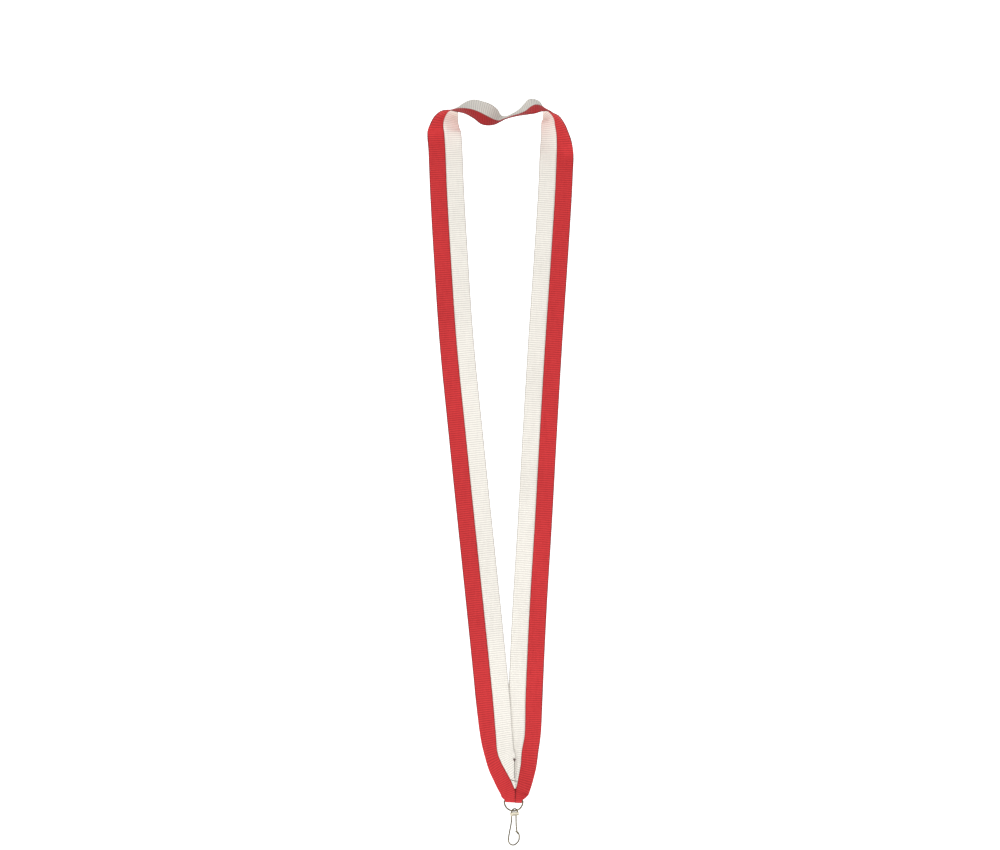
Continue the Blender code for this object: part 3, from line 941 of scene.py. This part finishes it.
@dataclass
class DRing:
    """A D bent from one wire: its two ends meet in the bar, inside the fold."""

    wire: float = 1.0
    middle: tuple[float, float, float] = RING_BAR
    bow: float = 5.95
    bow_drop: float = 0.8
    corner: float = 0.9
    joint_gap: float = 0.12

    def path(self) -> np.ndarray:
        """The wire's centreline from one end of the joint round to the other."""
        half = self.bow - self.corner
        right = [(x, 0.0) for x in np.linspace(self.joint_gap / 2, half, 16)[:-1]]
        angles = np.radians(np.arange(90, -1, -9))
        right += [(half + self.corner * math.cos(a), self.corner * (math.sin(a) - 1)) for a in angles]
        angles = np.radians(np.arange(-2.5, -90, -2.5))
        half_way = right + [(self.bow * math.cos(a), -self.bow_drop + self.bow * math.sin(a)) for a in angles]
        bottom = [(0.0, -self.bow_drop - self.bow)]
        points = half_way + bottom + [(-x, z) for x, z in half_way[::-1]]
        x, y, z = self.middle
        return np.array([(x + a, y, z + b) for a, b in points])

    def build(self) -> bpy.types.Object:
        """Bends the ring."""
        return drawn_wire("d_ring_wire", Course(self.path()).even(0.16)[0], self.wire / 2, 22, end_round=0.35)

    def dress(self, piece: bpy.types.Object, finish: bpy.types.Material) -> None:
        """Plates the ring."""
        dress(piece, finish, Slot.BRASS, "ring", "d_ring")


@dataclass
class SnapClip:
    """A snap clip of one bent wire: eye, spine, hook and springy gate, held by a crimped collar."""

    wire: float = 0.88
    x: float = 9.0
    y: float = RING_BAR[1]
    eye_z: float = -443.15
    yaw: float = math.radians(36)
    eye: tuple[float, float] = (2.35, 2.15)
    collar_top: float = -0.1
    collar_height: float = 2.1
    collar_half: tuple[float, float] = (3.35, 1.05)
    collar_wall: float = 0.35
    collar_bevel: float = 0.11
    collar_pinch: float = 0.16
    # half the open joint behind, as a share of the collar's straight
    collar_joint: float = 0.02
    # along, out of plane and height over the eye's middle
    hook: tuple[Row, ...] = (
        (-2.35, 0, -2.4), (-2.4, 0, -4.9), (-2.9, 0, -8.1), (-3.85, 0, -11.9), (-4.65, 0, -15.8),
        (-4.7, 0, -18.0), (-3.7, 0, -19.9), (-1.2, 0, -20.95), (1.3, 0, -20.3), (3.3, 0, -18.5),
        (3.75, 0, -16.4), (3.5, 0, -14.5), (3.0, 0.55, -13.3), (2.3, 1.15, -12.8), (1.5, 1.3, -12.75),
    )
    gate: tuple[Row, ...] = (
        (1.25, 0, -1.8), (1.2, 0, -4.9), (1.35, 0, -8.8), (1.75, 0, -11.6), (2.2, 0, -14.1),
    )

    def placed(self, rows: np.ndarray) -> np.ndarray:
        """Rows of the clip's own plane, turned on the ring."""
        rows = np.asarray(rows, float)
        c, s = math.cos(self.yaw), math.sin(self.yaw)
        turned = [rows[:, 0] * c - rows[:, 1] * s, rows[:, 0] * s + rows[:, 1] * c, rows[:, 2]]
        return np.stack(turned, axis=1) + np.array([self.x, self.y, self.eye_z])

    def hook_path(self) -> np.ndarray:
        """The wire from inside the collar, over the eye, down the spine and round to the catch."""
        wide, high = self.eye
        arch = [(wide, 0, -1.9), (wide, 0, -0.9)]
        arch += [(wide * math.cos(a), 0, high * math.sin(a)) for a in np.radians(np.arange(0, 181, 10))]
        arch += [(-wide, 0, -1.1)]
        return self.placed(Course(np.array(arch + list(self.hook), float)).even(0.16)[0])

    def collar_outline(self) -> list[tuple[float, float, float, float]]:
        """The collar seen from above, once round from the joint behind: place and way out."""
        wide, deep = self.collar_half
        straight = wide - deep
        half_way = [(straight * t, -deep, 0.0, -1.0) for t in (0.0, 0.33, 0.66)]
        for a in np.radians(np.linspace(-90, 90, 13)):
            half_way.append((straight + deep * math.cos(a), deep * math.sin(a), math.cos(a), math.sin(a)))
        half_way += [(straight * t, deep, 0.0, 1.0) for t in (0.66, 0.33, self.collar_joint)]
        rest = [(-x, y, -nx, ny) for x, y, nx, ny in half_way[1:][::-1]]
        return rest + half_way

    def collar_section(self) -> list[tuple[float, float]]:
        """The strip cut across: its bevelled edges, with points down its two faces."""
        half_wall, half_height, bevel = self.collar_wall / 2, self.collar_height / 2, self.collar_bevel
        section = []
        for side, end, start in ((1, 1, 0), (-1, 1, 90), (-1, -1, 180), (1, -1, 270)):
            for a in np.radians(np.arange(start, start + 91, 30)):
                out = side * (half_wall - bevel) + bevel * math.cos(a)
                section.append((out, end * (half_height - bevel) + bevel * math.sin(a)))
            if side == end:
                continue
            face = np.linspace(1, -1, 6)[1:-1] * (half_height - bevel) * end
            section += [(side * half_wall, height) for height in face]
        return section

    def collar_rings(self) -> np.ndarray:
        """The collar as a rounded strip bent round the necks, pinched in front and behind."""
        half_wall, half_height, wide = self.collar_wall / 2, self.collar_height / 2, self.collar_half[0]
        rings = []
        for x, y, nx, ny in self.collar_outline():
            ring = []
            for out, height in self.collar_section():
                waist = (1 - (height / half_height) ** 2) * (1 - 0.5 * abs(x) / wide)
                reach = out - half_wall - self.collar_pinch * ny**2 * waist
                ring.append((x + nx * reach, y + ny * reach, self.collar_top - half_height + height))
            rings.append(self.placed(np.array(ring)))
        return np.array(rings)

    def build(self) -> dict[str, bpy.types.Object]:
        """Bends the wires and crimps the collar, by the frame node each stands for."""
        gate = self.placed(Course(np.array(self.gate, float)).even(0.16)[0])
        return {
            "hook_wire": drawn_wire("clip_hook_wire", self.hook_path(), self.wire / 2, 20),
            "spring_gate": drawn_wire("clip_gate_wire", gate, self.wire / 2, 20),
            "crimp_collar": loft("clip_crimped_collar", self.collar_rings()),
        }

    def dress(
        self, made: dict[str, bpy.types.Object], wire: bpy.types.Material, collar: bpy.types.Material
    ) -> None:
        """Plates the wires, and the collar with a lighter copy of the brass, whose lightness is a painted
        highlight.
        """
        for node, piece in made.items():
            finish = collar if node == "crimp_collar" else wire
            dress(piece, finish, Slot.BRASS, "gate" if node == "spring_gate" else "clip", node)


# ------------------------------------------------------------------- the studio


@dataclass
class Softbox:
    """One square soft light, aimed at a point."""

    name: str
    place: tuple[float, float, float]
    aim: tuple[float, float, float]
    size: float
    watts: float

    def build(self) -> None:
        """Hangs the light."""
        light = bpy.data.lights.new(self.name, "AREA")
        light.size = self.size
        light.energy = self.watts
        lamp = bpy.data.objects.new(self.name, light)
        lamp.location = self.place
        lamp.rotation_euler = (Vector(self.aim) - Vector(self.place)).to_track_quat("-Z", "Y").to_euler()
        bpy.context.scene.collection.objects.link(lamp)


@dataclass
class Studio:
    """White sweep, soft lights and a level camera in front."""

    lens: float = 100.0
    camera_place: tuple[float, float, float] = (-0.0003, -1.808, -0.1952)
    sweep_half_width: float = 3.0
    sweep_front: float = -2.6
    sweep_back: float = 2.2
    sweep_floor: float = -0.62
    sweep_top: float = 2.6
    sweep_bend: float = 0.9
    air: float = 0.36
    lit_middle: tuple[float, float, float] = (0.0, -0.03, -0.2)
    # place, size and watts
    key: tuple[tuple[float, float, float], float, float] = ((-0.8, -1.65, 0.55), 1.0, 12.6)
    fill: tuple[tuple[float, float, float], float, float] = ((1.1, -1.4, 0.0), 1.0, 2.2)

    def camera(self) -> None:
        """Sets the camera at the height of the middle of the straps, looking straight in."""
        data = bpy.data.cameras.new("front_camera")
        data.lens = self.lens
        data.sensor_width = 36.0
        camera = bpy.data.objects.new("front_camera", data)
        camera.location = self.camera_place
        camera.rotation_euler = (math.radians(90), 0.0, 0.0)
        bpy.context.scene.collection.objects.link(camera)
        bpy.context.scene.camera = camera

    def sweep(self) -> None:
        """Paper from the floor up the wall in one bend."""
        bend, floor = self.sweep_bend, self.sweep_floor
        profile = [(self.sweep_front, floor), (self.sweep_back - bend, floor)]
        profile += [
            (self.sweep_back - bend + bend * math.sin(a), floor + bend * (1 - math.cos(a)))
            for a in np.radians(np.arange(7.5, 90, 7.5))
        ]
        profile += [(self.sweep_back, floor + bend), (self.sweep_back, self.sweep_top)]
        sides = (-self.sweep_half_width, self.sweep_half_width)
        points = np.array([(x, y, z) for y, z in profile for x in sides])
        faces = [(2 * k, 2 * k + 1, 2 * k + 3, 2 * k + 2) for k in range(len(profile) - 1)]
        paper = mesh_piece("paper_sweep", points / MM, faces)
        paper.data.materials.append(PaperFinish().make())

    def build(self) -> None:
        """Sets out the sweep and the lights."""
        self.sweep()
        world = bpy.data.worlds.new("studio_air")
        world.use_nodes = True
        air = world.node_tree.nodes["Background"]
        air.inputs["Color"].default_value = (1.0, 1.0, 1.0, 1.0)
        air.inputs["Strength"].default_value = self.air
        bpy.context.scene.world = world
        for name, (place, size, watts) in (("key_softbox", self.key), ("fill_softbox", self.fill)):
            Softbox(name, place, self.lit_middle, size, watts).build()
        bpy.context.scene.view_settings.view_transform = "Standard"
        LOG.info("studio: sweep, two softboxes and air at %.2f", self.air)


def main() -> None:
    """Builds the studio and every piece in order."""
    logging.basicConfig(level=logging.INFO, format="%(name)s: %(message)s")
    studio = Studio()
    studio.camera()
    studio.build()
    ribbon = NeckRibbon()
    ribbon.dress(ribbon.build())
    stitching = Stitching()
    stitching.dress(stitching.build())
    # one brass plating in two copies: the wires' dark copy is painted shade, the collar's light copy a painted
    # highlight
    brass = BrassFinish("plated_brass_wire", (0.18, 0.152, 0.09), (0.09, 0.075, 0.04)).make()
    highlit_brass = BrassFinish(
        "brass_collar_painted_highlight", (0.7, 0.645, 0.5), (0.45, 0.4, 0.29), roughness=0.28
    ).make()
    ring = DRing()
    ring.dress(ring.build(), brass)
    clip = SnapClip()
    clip.dress(clip.build(), brass, highlit_brass)


if __name__ == "__main__":
    main()
